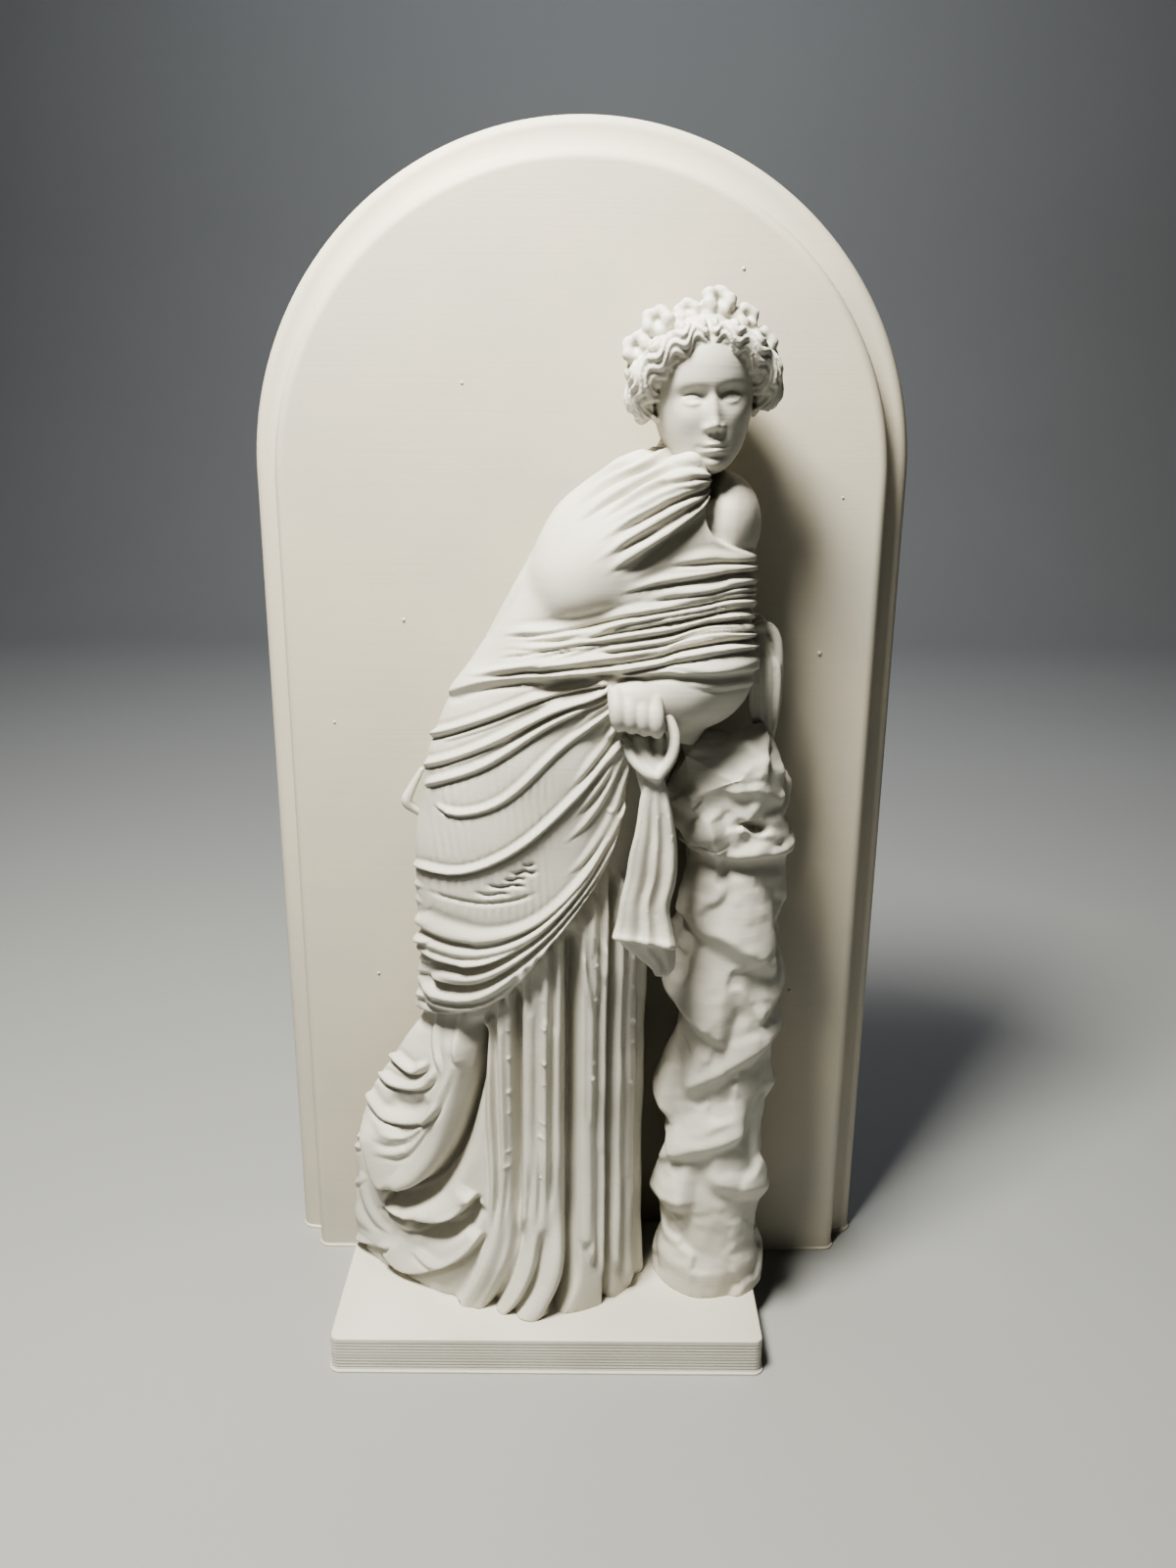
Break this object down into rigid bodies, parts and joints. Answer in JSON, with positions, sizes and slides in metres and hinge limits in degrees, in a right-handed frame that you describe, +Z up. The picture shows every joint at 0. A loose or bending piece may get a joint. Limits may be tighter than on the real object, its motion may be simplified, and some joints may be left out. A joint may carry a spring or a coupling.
{
  "type": "goddess statuette",
  "caption": "Small printed statuette of a draped, wreathed woman leaning on a rock pier, on a low plinth before an arched back panel.",
  "frame": {"origin": "middle of the overall box on the surface it stands on: X = 0 at the panel's middle, Z = 0 at the underside, Y = 0 halfway from the panel's back to the plinth's front", "axes": "+Z up, -Y towards the viewer whom the figure faces, +X to the viewer's right"},
  "size_m": [0.1146, 0.0454, 0.21],
  "materials": {
    "figure": "matt warm-white printed plastic with fine level layer lines",
    "plinth": "matt warm-white printed plastic with fine level layer lines",
    "panel": "matt warm-white printed plastic, smooth to the eye"
  },
  "bodies": {
    "root": {"draped_figure_on_rock": "figure", "plinth": "plinth", "arched_panel": "panel"}
  },
  "joints": []
}
